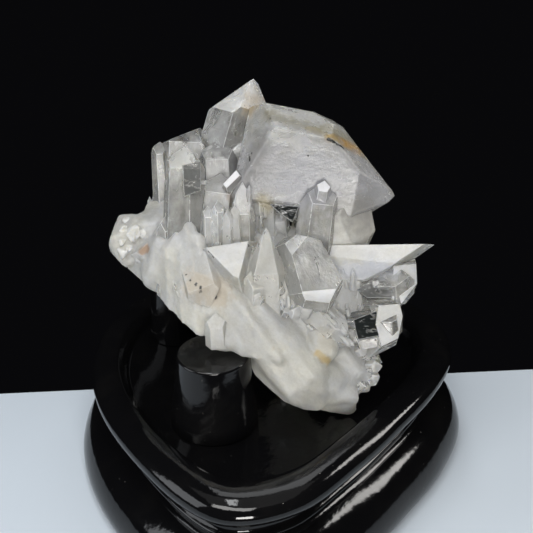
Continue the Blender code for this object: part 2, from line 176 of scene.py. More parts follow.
def setStage(s):
    camera = bpy.data.objects.new("camera", bpy.data.cameras.new("camera"))
    bpy.context.scene.collection.objects.link(camera)
    camera.data.lens = s["lens"]
    camera.data.sensor_width = 36
    camera.data.clip_start = 0.01
    camera.data.clip_end = 10
    tilt = math.radians(s["tilt"])
    back = Vector((0, -math.cos(tilt), math.sin(tilt)))
    camera.location = (Vector(s["target"]) + back * s["distance"]) * mm
    camera.rotation_euler = back.to_track_quat("Z", "Y").to_euler()
    bpy.context.scene.camera = camera

    world = bpy.data.worlds.new("dark room")
    world.use_nodes = True
    world.node_tree.nodes["Background"].inputs["Color"].default_value = (*s["surround"], 1)
    bpy.context.scene.world = world

    for name, (place, width, depth, watts, colour) in s["lamps"].items():
        lamp = bpy.data.lights.new(name, "AREA")
        lamp.shape = "RECTANGLE"
        lamp.size = width * mm
        lamp.size_y = depth * mm
        lamp.energy = watts
        lamp.color = colour
        holder = bpy.data.objects.new(name, lamp)
        bpy.context.scene.collection.objects.link(holder)
        holder.location = Vector(place) * mm
        aim = Vector((0, 0, 55)) * mm - holder.location
        holder.rotation_euler = aim.to_track_quat("-Z", "Y").to_euler()

    bm = bmesh.new()
    bmesh.ops.create_cube(bm, size=1)
    wide, deep = 2 * s["tableSide"], s["tableBack"] - s["tableFront"]
    bmesh.ops.scale(bm, vec=Vector((wide, deep, 12)) * mm, verts=bm.verts[:])
    middle = Vector((0, (s["tableBack"] + s["tableFront"]) / 2, -6)) * mm
    bmesh.ops.translate(bm, vec=middle, verts=bm.verts[:])
    bmesh.ops.rotate(bm, matrix=Matrix.Rotation(math.radians(s["tableTurn"]), 3, "Z"),
                     cent=(0, 0, 0), verts=bm.verts[:])
    meshPiece("table", bm, [paleTable(s["tableColour"])])


setStage(stageSettings)
bpy.context.scene.view_settings.view_transform = "Standard"
print("stage set")


# ---- the crystals

# Places are across, up and out in a frame that leans back with the cluster.
clusterSettings = {
    "lean": 29.0, "centreHeight": 65.3, "shift": (-2.15, 4.3),
    # glint: the painted highlight on the worn edge strips of the crisp crystals
    "pyramidAngle": 51.8, "taper": 1.5, "wornEdge": 0.15, "glint": 0.4,
    "softTurn": 26,
    "breakPlace": (0.0, -25.4, 0.0), "breakFacing": (-0.524, -0.773, -0.357), "breakTilt": 0.08,
    "pegSeat": ((-12.0, -21.4, 9.2), (-0.1, -0.87, -0.48)),
}
lean = math.radians(clusterSettings["lean"])


def leanPoint(across, up, out):
    x, y = clusterSettings["shift"]
    return Vector((
        across + x,
        up * math.sin(lean) - out * math.cos(lean) + y,
        clusterSettings["centreHeight"] + up * math.cos(lean) + out * math.sin(lean),
    )) * mm


def leanWay(across, up, out):
    return (leanPoint(across, up, out) - leanPoint(0, 0, 0)).normalized()


def tagFace(bm, face, axis, milk, stripe=0.0, facet=0.5, tone=0.0):
    # each face knows its crystal's axis, its milkiness, whether it is striped, and its tone: painted
    # shade below 0, a painted highlight above 0
    face[bm.faces.layers.float_vector["axis"]] = axis
    for name, value in (("milk", milk), ("stripe", stripe), ("facet", facet), ("tone", tone)):
        face[bm.faces.layers.float[name]] = value


def startSolid(axis, milk):
    bm = bmesh.new()
    bmesh.ops.create_cube(bm, size=1)
    bm.faces.layers.float_vector.new("axis")
    for name in ("milk", "stripe", "facet", "tone"):
        bm.faces.layers.float.new(name)
    for face in bm.faces:
        tagFace(bm, face, axis, milk)
    return bm


def sliceOff(bm, point, normal, axis, milk, stripe=0.0, facet=0.5, tone=0.0):
    bmesh.ops.bisect_plane(
        bm, geom=bm.verts[:] + bm.edges[:] + bm.faces[:], dist=1e-6,
        plane_co=point, plane_no=normal, clear_outer=True,
    )
    rim = [edge for edge in bm.edges if edge.is_boundary]
    if not rim:
        return
    for face in bmesh.ops.holes_fill(bm, edges=rim)["faces"]:
        tagFace(bm, face, axis, milk, stripe, facet, tone)


def wearEdges(bm, width, axis, milk, glint=0.0):
    # planes a little below each edge leave narrow worn strips; on the crisp crystals they carry the
    # glint tone, a painted highlight
    bmesh.ops.recalc_face_normals(bm, faces=bm.faces[:])
    planes = []
    for edge in bm.edges:
        if len(edge.link_faces) != 2 or edge.calc_length() < 1e-5:
            continue
        a, b = (face.normal for face in edge.link_faces)
        turn = a.angle(b, 0.0)
        if turn < 0.1:
            continue
        middle = (edge.verts[0].co + edge.verts[1].co) / 2
        facing = (a + b).normalized()
        planes.append((middle - facing * width * mm / 2 * math.tan(turn / 2), facing))
    for point, facing in planes:
        sliceOff(bm, point, facing, axis, milk, 0.0, 0.5, glint)


def fluteSides(bm, axis, depth, pitch, step=1.5):
    # shallow waves that run along the crystal, on a mesh fine enough to carry them
    bmesh.ops.triangulate(bm, faces=bm.faces[:])
    for _ in range(7):
        long = [edge for edge in bm.edges if edge.calc_length() > step * mm]
        if not long:
            break
        bmesh.ops.subdivide_edges(bm, edges=long, cuts=1)
        bmesh.ops.triangulate(bm, faces=bm.faces[:])
    bm.normal_update()
    moves = []
    for vert in bm.verts:
        down = vert.co - axis * vert.co.dot(axis) * 0.85
        wave = noiseField.noise(down / (pitch * mm)) + 0.5 * noiseField.noise(down / (pitch * 0.4 * mm))
        moves.append(vert.normal * wave * depth * mm)
    for vert, move in zip(bm.verts, moves):
        vert.co += move


def facetBlock(name, corners, depth, flare=12.0, milk=0.3, tone=0.0, shadeAndHighlightByFace=None, stripe=0.0,
               cuts=(), axis=(1, 0, 0), worn=None, sink=None):
    # a crystal that shows one flat face with these corners; its sides spread a little behind it
    draw = random.Random(name)
    points = [leanPoint(*corner) for corner in corners]
    middle = sum(points, Vector()) / len(points)
    facing = Vector()
    for a, b in zip(points, points[1:] + points[:1]):
        facing += (a - middle).cross(b - middle)
    facing.normalize()
    if facing.dot(leanWay(0, 0, 1)) < 0:
        facing, points = -facing, points[::-1]
        sides = [(len(points) - 2 - k) % len(points) for k in range(len(points))]
        shadeAndHighlightByFace = {sides.index(k): shade for k, shade in (shadeAndHighlightByFace or {}).items()}
        if isinstance(flare, tuple):
            flare = [flare[k] for k in sides]
    grain = leanWay(*axis)
    bm = startSolid(grain, milk)
    reach = max((point - middle).length for point in points) * 2.5 + depth * 2 * mm
    bmesh.ops.scale(bm, vec=(reach * 2,) * 3, verts=bm.verts[:])
    bmesh.ops.translate(bm, vec=middle, verts=bm.verts[:])
    # the front face takes the block's tone: painted shade below 0, a painted highlight above 0
    sliceOff(bm, middle, facing, grain, milk, stripe, 0.9, tone)
    sliceOff(bm, middle - facing * depth * mm, -facing, grain, milk)
    for index, (a, b) in enumerate(zip(points, points[1:] + points[:1])):
        outward = (b - a).cross(facing).normalized()
        spreadBy = math.radians(flare[index] if isinstance(flare, (list, tuple)) else flare)
        sliceOff(bm, a, outward * math.cos(spreadBy) + facing * math.sin(spreadBy), grain, milk,
                 0.3, draw.random(), (shadeAndHighlightByFace or {}).get(index, 0.0))
    for where, way, *shade in cuts:
        sliceOff(bm, leanPoint(*where), leanWay(*way), grain, milk, stripe, draw.random(),
                 shade[0] if shade else 0.0)
    if sink is not None:
        breakOff(bm, name, sink, grain, milk)
    wearEdges(bm, clusterSettings["wornEdge"] if worn is None else worn, grain, milk,
              clusterSettings["glint"])
    return name, bm


def growCrystal(name, root, tip, wide, deep, roll=0.0, apex=(0.0, 0.0), lifts=(0, 3, 0, 3, 0, 3),
                steep=None, cuts=(), milk=0.5, worn=None, soft=0.0, sink=None, shadeAndHighlightByFace=None,
                flutes=None):
    s = clusterSettings
    draw = random.Random(name)
    shadeAndHighlightByFace = shadeAndHighlightByFace or {}
    start, end = leanPoint(*root), leanPoint(*tip)
    axis = (end - start).normalized()
    front = leanWay(0, 0, 1)
    front = (front - axis * front.dot(axis)).normalized()
    front = Matrix.Rotation(math.radians(roll), 3, axis) @ front
    side = axis.cross(front)
    length = (end - start).length

    bm = startSolid(axis, milk)
    size = Matrix.Diagonal((wide * mm * 1.6, deep * mm * 1.6, length * 1.2, 1.0))
    turned = Matrix((side, front, axis)).transposed().to_4x4()
    place = Matrix.Translation(start + axis * length * 0.6) @ turned @ size
    bmesh.ops.transform(bm, matrix=place, verts=bm.verts[:])

    point = end + side * apex[0] * mm + front * apex[1] * mm
    taper, slope = math.radians(s["taper"]), math.radians(steep or s["pyramidAngle"])
    # the faces listed by number get painted shade or a painted highlight
    for index in range(6):
        around = math.radians(90 + 60 * index)
        outward = side * math.cos(around) + front * math.sin(around)
        if index % 3 == 0:
            reach = front * deep / 2 * (1 if index == 0 else -1)
        else:
            reach = side * wide / 2 * (1 if outward.dot(side) > 0 else -1)
        sliceOff(bm, end + reach * mm, outward * math.cos(taper) + axis * math.sin(taper),
                 axis, milk, 0.4 + 0.6 * (index % 2), draw.random(), shadeAndHighlightByFace.get(index, 0.0))
        sliceOff(bm, point + axis * lifts[index] * mm,
                 outward * math.sin(slope) + axis * math.cos(slope), axis, milk, 0, draw.random(),
                 shadeAndHighlightByFace.get(index + 6, 0.0))
    for where, facing, *shade in cuts:
        sliceOff(bm, leanPoint(*where), leanWay(*facing), axis, milk, 0, draw.random(),
                 shade[0] if shade else 0.0)
    if sink is not None:
        breakOff(bm, name, sink, axis, milk)
    if soft:
        wearEdges(bm, soft, axis, milk)
        wearEdges(bm, soft * 0.45, axis, milk)
    else:
        wearEdges(bm, s["wornEdge"] if worn is None else worn, axis, milk, s["glint"])
    if flutes:
        fluteSides(bm, axis, *flutes)
    return name, bm


def growLump(name, centre, size, seed, sides=16, cuts=(), milk=0.8, sink=None):
    draw = random.Random(seed)
    reach = [part / 2 * mm for part in size]
    axes = [leanWay(1, 0, 0), leanWay(0, 1, 0), leanWay(0, 0, 1)]
    bm = startSolid(axes[1], milk)
    bmesh.ops.scale(bm, vec=(2, 2, 2), verts=bm.verts[:])
    turned = Matrix(axes).transposed().to_4x4() @ Matrix.Diagonal((*reach, 1.0))
    middle = leanPoint(*centre)
    bmesh.ops.transform(bm, matrix=Matrix.Translation(middle) @ turned, verts=bm.verts[:])
    for side in range(sides):
        height = 1 - 2 * (side + 0.5) / sides
        around = side * 2.4 + draw.uniform(-0.25, 0.25)
        ring = math.sqrt(1 - height * height)
        away = (ring * math.cos(around), height, ring * math.sin(around))
        point, normal = Vector(middle), Vector((0, 0, 0))
        for axis, part, length in zip(axes, away, reach):
            point += axis * part * length * draw.uniform(0.84, 1.0)
            normal += axis * part / length
        sliceOff(bm, point, normal.normalized(), axes[1], milk, 0, 0.5)
    for where, facing in cuts:
        sliceOff(bm, leanPoint(*where), leanWay(*facing), axes[1], milk)
    if sink is not None:
        breakOff(bm, name, sink, axes[1], milk)
    wearEdges(bm, 0.4, axes[1], milk)
    return name, bm


def breakOff(bm, name, sink, axis, milk):
    # the underside, where the cluster broke from its rock, sink millimetres below the break
    s = clusterSettings
    down = leanWay(*s["breakFacing"])
    tilt = random.Random(name)
    facing = down + Vector([tilt.uniform(-s["breakTilt"], s["breakTilt"]) for _ in range(3)])
    middle = sum((v.co for v in bm.verts), Vector()) / len(bm.verts)
    level = leanPoint(*s["breakPlace"]) + down * sink * mm
    foot = middle + down * (level - middle).dot(down)
    sliceOff(bm, foot, facing.normalized(), axis, milk)


def seedCrust(name, centre, around, aim, count, length, wide, seed, milk=0.8, fan=0.5, worn=0.3):
    draw = random.Random(seed)
    for index in range(count):
        root = [c + draw.uniform(-s, s) for c, s in zip(centre, around)]
        way = leanWay(*[a + draw.uniform(-fan, fan) for a in aim])
        reach = draw.uniform(*length)
        back = (way.x, way.y * math.sin(lean) + way.z * math.cos(lean),
                -way.y * math.cos(lean) + way.z * math.sin(lean))
        tip = [r + b * reach for r, b in zip(root, back)]
        across = draw.uniform(*wide)
        yield growCrystal(f"{name}_{index}", root, tip, across, across * 0.85,
                          roll=draw.uniform(0, 60), lifts=(0, 0.6, 0, 0.6, 0, 0.6),
                          milk=milk, worn=worn)


def clusterCrystals():
    s = clusterSettings
    oneUp, twoUp = (0, 1, 0, 1, 0, 1), (0, 2, 0, 2, 0, 2)
    under = (-0.55, -0.75, -0.35)
    yield growLump("heart", (-8, -1, -5), (48, 32, 32), 3, sink=1)
    yield growLump("left_heart", (-23, 5, -13), (32, 30, 30), 8, sink=0)
    yield growLump("right_heart", (10, -5, 0), (36, 24, 22), 17)
    yield growLump("foot", (6, -18, -4), (34, 32, 22), 5, cuts=(((-3.5, -20, 8), (-1, 0, 0)),),
                   sink=1.5)
    yield growLump("heel", (-26, 9, -21), (20, 16, 18), 12, sink=0.5)

    # the three large crystals at the top
    # top_point: a painted highlight on two of its end faces
    yield growCrystal("top_point", (-12.4, 28, -10), (-5.4, 52.4, -7), 16, 13, roll=30,
                      apex=(2.2, 0), lifts=oneUp, milk=0.2, shadeAndHighlightByFace={6: 0.5, 7: 0.5})
    yield growCrystal("big_shoulder", (-7, 30, -1), (35, 22.5, 2), 28, 16, roll=14,
                      apex=(3.6, 0), lifts=(0, 1, 0, 4, 0, 1), milk=0.5, soft=0.6, cuts=(
                          # big_shoulder: painted shade on the three cut faces along its top
                          ((15.5, 40, 2), (0.44, 0.88, 0.25), -0.5),
                          ((5, 43.4, 2), (0.15, 0.98, 0.2), -0.4),
                          ((27, 30, 2), (0.8, 0.57, 0.25), -0.15),
                          ((31.5, 16.5, 2), (0.6, -0.8, -0.1)),
                          ((-4, 34, 4), (-0.75, 0.3, 0.6)),
                      ), flutes=(0.1, 6.0, 2.0))
    yield growCrystal("under_shoulder", (12, 8, -2), (30.5, 16, 1), 18, 16, roll=12, milk=0.75,
                      soft=0.5, cuts=(((28.8, 10.5, 2), (0.98, 0.19, 0.1)),
                                      ((22, 17, 8), (0.3, 0.6, 0.74))))

    # the right side: a clear blade and the stubs under it
    yield facetBlock("right_blade", [
        (14, 5.8, 7.5), (41, 6.1, 9.5), (41.8, 5.2, 9.5), (32.6, 0.7, 9.5), (27, -3.2, 9.2),
        (17.5, -3.2, 8.2)], 9, (4, 20, 25, 10, 10, 0), milk=0.7, stripe=1.0,
        # right_blade: a painted highlight on the face cut across it
        cuts=(((28, 1.6, 8.85), (-0.07, 0.2, 0.98), 0.45),
              ((38, 4, 9.3), (0.25, -0.1, 0.96))))
    yield growCrystal("right_stub", (20, -5, 1), (41, -4.5, 6), 11, 10, roll=30, milk=0.2, cuts=(
        ((39.2, -3, 5), (0.97, -0.08, 0.22)), ((37, -8.8, 5), (0.75, -0.65, 0.1))))
    # stub_face: a painted highlight on its face and on its lower cut
    yield facetBlock("stub_face", [
        (33, 0.4, 8.2), (39.0, 0.9, 7.2), (39.2, -4.3, 7.4), (35, -9.3, 8.2), (32.6, -8, 8.8)],
        9, 16, milk=0.5, tone=0.4, cuts=(((36, -7, 8.2), (0.2, -0.5, 0.85), 0.8),))
    # stub_window: painted shade, a clear face painted nearly black
    yield facetBlock("stub_window", [
        (20.4, -3.4, 8.4), (27, -3.4, 8.6), (32.8, 0.6, 8.6), (32.4, -7.8, 9.4), (26, -7.8, 9.2)],
        8, 8, milk=0.05, tone=-0.9)
    yield growCrystal("lower_stub", (18, -15.5, 1), (40, -15.3, 6), 11, 10, roll=15, milk=0.25,
                      cuts=(((34.8, -13, 5), (0.96, 0.1, 0.25)),
                            ((33.4, -18.8, 4), (0.6, -0.78, 0.1))))
    # lower_face: a painted highlight
    yield facetBlock("lower_face", [
        (28.8, -9.9, 8.8), (34.6, -9.5, 8.2), (35.4, -12.8, 8.4), (34.1, -18.4, 8.8),
        (29.8, -20.4, 9.6), (28.4, -14, 10.2)], 9, 16, milk=0.6, tone=0.4)
    # lower_window: painted shade, a clear face painted black
    yield facetBlock("lower_window", [
        (22.5, -13.6, 8.8), (28.6, -11.2, 9.0), (29.0, -17.6, 9.8), (23.6, -18.6, 9.6)],
        8, 8, milk=0.03, tone=-1.0)
    yield facetBlock("striped_end", [
        (23.2, -18.4, 8.2), (29.2, -18.1, 8.6), (29.8, -20.6, 8.2), (24.5, -21.4, 7.6)],
        8, 10, milk=0.3, stripe=1.0)
    yield growCrystal("tiny_end", (25.5, -23, 1), (31, -25.5, 0), 4, 4, lifts=(0,) * 6, milk=0.4)

    # the clear crystals that face the front
    # clear_column: painted shade on one side, painted highlights on the two cut faces
    yield facetBlock("clear_column", [
        (5.4, 6.4, 13), (8.2, 8.6, 12.3), (13.8, 7.0, 12.6), (19.3, -2.8, 15), (16.2, -7.6, 16.5),
        (10.1, -7.3, 17), (8.9, -6.0, 17)], 11, (20, 5, 5, 8, 16, 14, 24), milk=0.38,
        axis=(0.4, -0.9, 0.2), shadeAndHighlightByFace={6: -0.6},
        cuts=(((15, -5.2, 16.3), (0.12, -0.42, 0.9), 0.7),
              ((9, 7, 12.6), (-0.25, 0.5, 0.83), 0.3)))
    yield growCrystal("neck", (12, 2, 5), (14.5, 22, 8), 10, 8, roll=10, milk=0.35)
    # little_clear: a painted highlight on one end face
    yield growCrystal("little_clear", (13.5, 14, 8), (15, 22.5, 10), 4.5, 4, milk=0.3,
                      shadeAndHighlightByFace={6: 0.7})
    yield growCrystal("pyramid", (0, -14, 4), (-0.1, 10.3, 13), 10.5, 8, steep=69, milk=0.6,
                      lifts=oneUp)
    yield facetBlock("shadow_notch", [
        (0.6, 16.6, 8.4), (8.4, 15.8, 8.4), (6.8, 11.8, 8.5), (3.6, 14.0, 8.5)],
        3, 0, milk=0.02, tone=-1.0)
    yield growCrystal("arc_block", (-3, -14, 5), (-2.5, 1, 10.5), 9, 8, roll=20, milk=0.65)
    # bright_face: its brightness is a painted highlight
    yield facetBlock("bright_face", [
        (-15.7, 5.0, 11.5), (-4.6, 6.8, 12.2), (-7.0, -2.7, 14), (-9.0, -1.7, 14)],
        10, (10, 18, 30, 34), milk=0.6, tone=0.3, stripe=0.5)

    # the upright crystals of the left side
    # left_tall: painted shade on one side, a faint painted highlight on one end face
    yield growCrystal("left_tall", (-22, 1, 2), (-21.3, 32, 5), 10.5, 9, roll=-12, lifts=twoUp,
                      milk=0.35, shadeAndHighlightByFace={5: -0.5, 6: 0.2})
    # dark_face: painted shade, a face painted nearly black
    yield facetBlock("dark_face", [
        (-21.6, 26.4, 10.2), (-17.0, 27.4, 9.7), (-16.9, 19.9, 9.9), (-21.2, 18.3, 10.3)],
        5, 5, milk=0.1, tone=-0.9, stripe=0.8)
    yield growCrystal("left_back", (-27.5, 11.5, -6), (-29.3, 34.5, -7), 5, 6, lifts=oneUp,
                      milk=0.35)
    yield growCrystal("left_peak", (-21, 14, -8), (-20, 41, -8), 18, 11, milk=0.25, cuts=(
        ((-24, 36, -8), (-0.38, 0.92, 0.1)), ((-18, 38, -8), (0.8, 0.5, 0.3))))
    # dark_prism and dark_back: painted shade on some of their faces
    yield growCrystal("dark_prism", (-12, 8.5, -3), (-13.5, 34.5, -3), 11, 9, milk=0.1,
                      shadeAndHighlightByFace={0: -0.7, 5: -0.5, 6: -0.3})
    yield growCrystal("dark_back", (-7, 18, -7), (-10.5, 37, -6), 11, 8, milk=0.1,
                      shadeAndHighlightByFace={0: -0.5})
    yield growCrystal("beige_wedge", (-14.5, 7, 1), (-12, 25, 2), 11, 8, milk=0.5)
    for number, (across, top, out, wide) in enumerate((
            (-15.2, 16.0, 8.0, 3.4), (-12.6, 17.4, 9.0, 3.6), (-10.2, 15.2, 9.4, 3.2),
            (-8.2, 16.2, 8.6, 3.0), (-26.8, 13.5, 4.6, 4.6), (-23.6, 10.8, 6.6, 5.0),
            (-20.3, 13.0, 8.0, 4.6), (-17.4, 9.6, 9.2, 3.8), (-21.6, 4.8, 8.8, 4.0),
            (-18.6, 2.0, 10.4, 3.4), (-24.8, 2.6, 5.6, 4.4))):
        yield growCrystal(f"needle_{number}", (across + 0.6, top - 24, out - 1.5),
                          (across, top, out), wide, wide * 0.95, roll=(number * 23) % 60,
                          milk=0.45 + 0.08 * (number % 4), steep=60, sink=-0.5)
    yield growCrystal("needle_c", (-6, 1, 5), (-6.3, 22.4, 7.5), 6, 5, steep=72, milk=0.45)
    # bright_slab: a painted highlight
    yield facetBlock("bright_slab", [
        (-11.3, 21.7, 7.6), (-7.9, 25.4, 7.2), (-6.9, 24.0, 7.6), (-10.4, 20.6, 8.0)],
        6, 12, milk=0.4, tone=0.75)
    yield growCrystal("stain_block", (-0.5, 7, 1), (-1, 21, 3), 7, 6, roll=15, milk=0.6)
    yield growCrystal("squat", (4, 3, -1), (2.8, 15, 2), 6, 4, milk=0.6)

    # the left edge
    yield growCrystal("left_face", (-25, 8, -2), (-37, -3, -4), 13, 12, milk=0.7, sink=1.5,
                      cuts=(((-33, -4, -2), (-0.6, -0.75, -0.3)),))
    yield growCrystal("left_lobe", (-27, 8.5, -4), (-40.5, 8.5, -7), 15, 13, milk=0.85, sink=1,
                      soft=1.6, cuts=(((-40, 12, -6), (-0.85, 0.5, 0.1)),), flutes=(0.4, 3.0))
    yield growCrystal("left_slope", (-24, 8, -4), (-33, 18.5, -6), 12, 11, roll=10, milk=0.8,
                      sink=1, soft=1.4, cuts=(((-33, 18, -5), (-0.6, 0.8, 0)),),
                      flutes=(0.35, 3.0))
    yield growLump("left_knob", (-36, 6.5, -5), (13, 16, 13), 6, sides=12, sink=1)
    yield from seedCrust("left_crust", (-35.3, 8, -2), (3.5, 4.5, 3), (-0.8, 0.3, 0.7), 30,
                         (1.5, 3.2), (2.6, 5.0), 21, milk=0.9, worn=0.8)

    # the milky foot: long crystals side by side, running down to the right
    yield growCrystal("shelf_a", (-20, 6, 2), (-21, -14.5, 4), 12, 10, milk=0.75, sink=0.2,
                      soft=1.4, cuts=(((-23, -12.5, 4), under),), flutes=(0.35, 3.5))
    yield growCrystal("shelf_b", (-26, 8, 1), (-29, -9, 1), 12, 11, milk=0.8, sink=0.8,
                      soft=1.4, cuts=(((-29, -8, 1), under),), flutes=(0.35, 3.5))
    yield growCrystal("shelf_c", (-16, 3, 5), (-16, -18, 7), 12, 9, roll=20, milk=0.75, sink=0,
                      soft=1.4, cuts=(((-16, -18, 7), under),), flutes=(0.3, 3.5))
    yield growCrystal("base_left", (-13.5, -4, 7), (-8, -24.5, 8), 12, 9, milk=0.8, sink=0.3,
                      soft=1.4, cuts=(((-9, -24, 8), (-0.5, -0.8, -0.3)), s["pegSeat"]),
                      flutes=(0.25, 3.5))
    yield growCrystal("seat_front", (-12, -7, 6), (6, -33, 7.5), 14, 11, roll=5, milk=0.85,
                      soft=1.2, cuts=(s["pegSeat"],), flutes=(0.7, 3.2, 1.2))
    yield growCrystal("base_low", (-10, -5, 3.5), (16, -38, 4.5), 18, 15, roll=5, milk=0.85,
                      soft=1.4, lifts=oneUp, sink=3, flutes=(0.8, 3.4, 1.2),
                      cuts=(((-3.9, -26, 8), (-1, 0, 0)),))
    for number, (root, tip, wide) in enumerate((
            ((-6.5, -10, 4), (9, -33, 8.2), 6.5), ((-2, -10, 5), (16, -34.5, 6.4), 6.5),
            ((4, -10, 4), (21.5, -33, 3), 7), ((-4, -12, 6.5), (4, -31, 9.2), 5),
            ((1, -11, 6), (12.5, -33.5, 8), 5), ((6, -14, 5), (19, -34.5, 5), 5))):
        yield growCrystal(f"rib_{number}", root, tip, wide, wide * 1.05, roll=25 + number * 17,
                          milk=0.85, soft=0.8, flutes=(0.4, 2.2))
    yield growCrystal("base_mid", (-4, -5.5, 3), (24.5, -39.5, -3), 15, 14, roll=35, milk=0.85,
                      soft=1.2, sink=1.8, flutes=(0.7, 3.0, 1.3))
    yield growCrystal("base_high", (6, -6, 3), (28, -34, -3), 12, 12, roll=10, milk=0.8,
                      soft=1.0, sink=2, flutes=(0.6, 2.8))
    yield growCrystal("beige_column", (14.4, -10, 5), (15.2, -26.5, 8.6), 8.8, 6.6, milk=0.75, soft=1.6,
                      flutes=(0.15, 2.5))
    for number, (across, top, out) in enumerate(((-24.5, 9, 6.5), (-18.3, 7, 8.3), (-13.2, 3, 9.2))):
        yield growCrystal(f"curtain_{number}", (across + 0.6, top - 20, out - 2.5),
                          (across, top, out), 7.5, 6.5, roll=8 + number * 17, milk=0.85,
                          sink=-0.3, steep=62, flutes=(0.15, 2.0))
    yield growCrystal("speck_face", (-18.5, 3, 6), (-14.5, -10.5, 12), 11, 7, roll=10, milk=0.65)
    yield growCrystal("mid_right", (10, -9, 5), (21.5, -20.5, 8), 9, 8, roll=20, milk=0.6)
    yield growCrystal("small_up", (-12.5, -20, 9), (-13, -11.5, 13), 6, 5, milk=0.8)
    yield from seedCrust("middle_crust", (3, -9.5, 9), (7, 3, 1.5), (0.2, 0.95, 0.6), 13,
                         (3, 5), (2.2, 4), 9, milk=0.55, worn=0.12)
    yield from seedCrust("right_crust", (24.5, -27, -0.5), (3, 4.5, 2.5), (0.9, 0.1, 0.7), 15,
                         (2.5, 5.5), (3, 5.4), 4, milk=0.6, fan=0.35, worn=0.2)

    # the back
    yield growCrystal("back_tall", (-14, 6, -14), (-12, 33, -24), 13, 12, roll=180, milk=0.3)
    yield growCrystal("back_lean", (8, -2, -10), (24, 16, -25), 12, 12, roll=160, milk=0.3)
    yield growCrystal("back_low", (6, -8, -10), (24, -6, -27), 11, 10, milk=0.5, sink=0.5)
    yield growCrystal("back_left", (-18, 8, -16), (-30, 24, -27), 12, 10, milk=0.5, sink=0.6)
    yield growCrystal("back_down", (0, -12, -10), (6, -20, -23), 10, 9, milk=0.6, sink=1)
    yield growCrystal("back_mid", (-10, 0, -14), (-9, 6, -33), 12, 11, milk=0.4, sink=0.4)


# Little crystals that grow on the large ones, side by side with them.
overgrowthSettings = {
    "spacing": 1.6, "perSquareMetre": 240000.0, "smallest": 0.6, "largest": 1.6, "seed": 4,
    # how thickly each kind of crystal is covered
    "share": {
        "needle": 0.12, "heart": 1.0, "left_heart": 0.8, "right_heart": 1.0, "foot": 0.6,
        "heel": 0.5, "left_lobe": 0.03, "left_slope": 0.03, "left_knob": 0.1, "stain": 0.3,
        "squat": 0.4, "shelf": 0.1, "base_left": 0.1, "mid_right": 0.4, "arc": 0.5,
        "back_": 0.2, "dark": 0.1,
    },
}


def littleCrystal():
    # one unit wide, standing on z = -0.6 with its point at z = 1
    bm = bmesh.new()
    bmesh.ops.create_cone(bm, cap_ends=True, segments=6, radius1=0.5, radius2=0.5, depth=1.2)
    top = [vert for vert in bm.verts if vert.co.z > 0]
    cap = [face for face in bm.faces if all(vert in top for vert in face.verts)]
    raised = bmesh.ops.poke(bm, faces=cap)
    raised["verts"][0].co = Vector((0.06, -0.04, 1.0))
    for name, value in (("stripe", 0.4), ("facet", 0.5), ("milk", 0.6)):
        layer = bm.faces.layers.float.new(name)
        for face in bm.faces:
            face[layer] = value
    bmesh.ops.recalc_face_normals(bm, faces=bm.faces[:])
    return meshPiece("little crystal", bm)


def overgrowthTree():
    tree = bpy.data.node_groups.new("overgrowth", "GeometryNodeTree")
    for name, kind in (("Cluster", "Geometry"), ("Crystal", "Object"), ("Finish", "Material"),
                       ("Spacing", "Float"), ("Density", "Float"), ("Smallest", "Float"),
                       ("Largest", "Float"), ("Seed", "Int")):
        tree.interface.new_socket(name, in_out="INPUT", socket_type="NodeSocket" + kind)
    tree.interface.new_socket("Crystals", in_out="OUTPUT", socket_type="NodeSocketGeometry")
    given = put(tree, "NodeGroupInput").outputs
    share = put(tree, "GeometryNodeInputNamedAttribute", {"Name": "growth"})
    points = put(tree, "GeometryNodeDistributePointsOnFaces", {
        "Mesh": given["Cluster"], "Distance Min": given["Spacing"],
        "Density Max": given["Density"], "Density Factor": share.outputs["Attribute"],
        "Seed": given["Seed"],
    }, distribute_method="POISSON")
    grain = put(tree, "GeometryNodeInputNamedAttribute", {"Name": "axis"}, data_type="FLOAT_VECTOR")
    stray = put(tree, "FunctionNodeRandomValue", {"Seed": 1}, data_type="FLOAT_VECTOR")
    for name, value in (("Min", -0.22), ("Max", 0.22)):
        stray.inputs[name].default_value = (value, value, value)
    aim = put(tree, "ShaderNodeVectorMath", {0: grain.outputs["Attribute"],
                                             1: stray.outputs[0]}, operation="ADD")
    stand = put(tree, "FunctionNodeAlignRotationToVector", {"Vector": aim.outputs[0]}, axis="Z")
    turn = put(tree, "FunctionNodeRandomValue", {"Min": 0.0, "Max": 6.28, "Seed": 2},
               data_type="FLOAT")
    spin = put(tree, "FunctionNodeAxisAngleToRotation", {"Angle": turn.outputs[1]})
    turned = put(tree, "FunctionNodeRotateRotation", {
        "Rotation": stand.outputs[0], "Rotate By": spin.outputs[0]}, rotation_space="LOCAL")
    wide = put(tree, "FunctionNodeRandomValue", {"Min": given["Smallest"],
                                                 "Max": given["Largest"], "Seed": 3})
    tall = put(tree, "FunctionNodeRandomValue", {"Min": 1.0, "Max": 2.4, "Seed": 5})
    length = put(tree, "ShaderNodeMath", {0: wide.outputs[1], 1: tall.outputs[1]},
                 operation="MULTIPLY")
    size = put(tree, "ShaderNodeCombineXYZ", {"X": wide.outputs[1], "Y": wide.outputs[1],
                                              "Z": length.outputs[0]})
    shape = put(tree, "GeometryNodeObjectInfo", {"Object": given["Crystal"]})
    copies = put(tree, "GeometryNodeInstanceOnPoints", {
        "Points": points.outputs["Points"], "Instance": shape.outputs["Geometry"],
        "Rotation": turned.outputs[0], "Scale": size.outputs[0]})
    real = put(tree, "GeometryNodeRealizeInstances", {"Geometry": copies.outputs[0]})
    dressed = put(tree, "GeometryNodeSetMaterial", {"Geometry": real.outputs[0],
                                                    "Material": given["Finish"]})
    put(tree, "NodeGroupOutput", {"Crystals": dressed.outputs[0]})
    return tree


